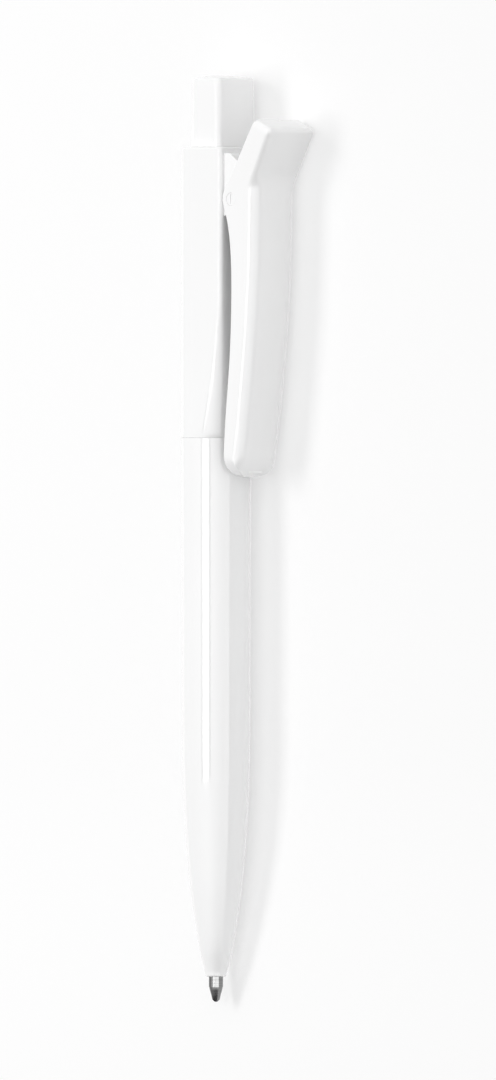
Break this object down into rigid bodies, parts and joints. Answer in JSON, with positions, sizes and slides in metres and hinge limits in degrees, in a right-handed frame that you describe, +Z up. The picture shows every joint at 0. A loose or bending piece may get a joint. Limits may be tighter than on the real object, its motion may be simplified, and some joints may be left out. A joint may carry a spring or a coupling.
{
  "type": "retractable ballpoint pen",
  "caption": "Retractable ballpoint pen in white plastic, with a push button, a sprung lever clip and a click mechanism that moves the refill.",
  "frame": {"origin": "on the surface that the pen lies on, under the middle of its bounding box", "axes": "+X along the pen towards the push button, -Y towards the clip, +Z up from the flat side it lies on"},
  "size_m": [0.145, 0.023, 0.011],
  "materials": {
    "white_plastic": "glossy injection moulded",
    "natural_plastic": "natural moulded",
    "tube_plastic": "extruded",
    "ink": "thick blue ink",
    "nickel": "turned and polished",
    "ball_metal": "polished hard metal",
    "spring_steel": "drawn wire"
  },
  "bodies": {
    "barrel": {"lower_barrel": "white_plastic", "upper_barrel": "white_plastic", "cam_sleeve": "natural_plastic", "clip_pin": "white_plastic", "return_spring": "spring_steel", "clip_spring": "spring_steel"},
    "button": {"push_button": "white_plastic", "thrust_tube": "natural_plastic"},
    "refill": {"refill_tube": "tube_plastic", "refill_plug": "natural_plastic", "ink_column": "ink", "tip_holder": "natural_plastic", "refill_tip": "nickel"},
    "rotor": {"rotor_cam": "natural_plastic"},
    "ball": {"writing_ball": "ball_metal"},
    "clip": {"clip": "white_plastic"}
  },
  "joints": [
    {"name": "button_press", "type": "slide", "parent": "barrel", "child": "button", "axis": [1, 0, 0], "range_m": [-0.0012, 0.0055], "stiffness_N_per_m": 150},
    {"name": "refill_slide", "type": "slide", "parent": "barrel", "child": "refill", "axis": [1, 0, 0], "range_m": [-0.0012, 0.0055], "deforming": ["return_spring"]},
    {"name": "rotor_turn", "type": "hinge", "parent": "refill", "child": "rotor", "pos_m": [0.036, 0.00598, 0.00548], "axis": [1, 0, 0], "continuous": true},
    {"name": "ball_roll", "type": "hinge", "parent": "refill", "child": "ball", "pos_m": [-0.072, 0.00598, 0.00548], "axis": [0, 1, 0], "continuous": true},
    {"name": "clip_open", "type": "hinge", "parent": "barrel", "child": "clip", "pos_m": [0.053, -0.00208, 0.00548], "axis": [0, 0, 1], "range_deg": [0, 12], "stiffness_Nm_per_rad": 0.05, "deforming": ["clip_spring"]}
  ],
  "couplings": [
    {"joint": "refill_slide", "follows": "button_press", "ratio": 1}
  ]
}
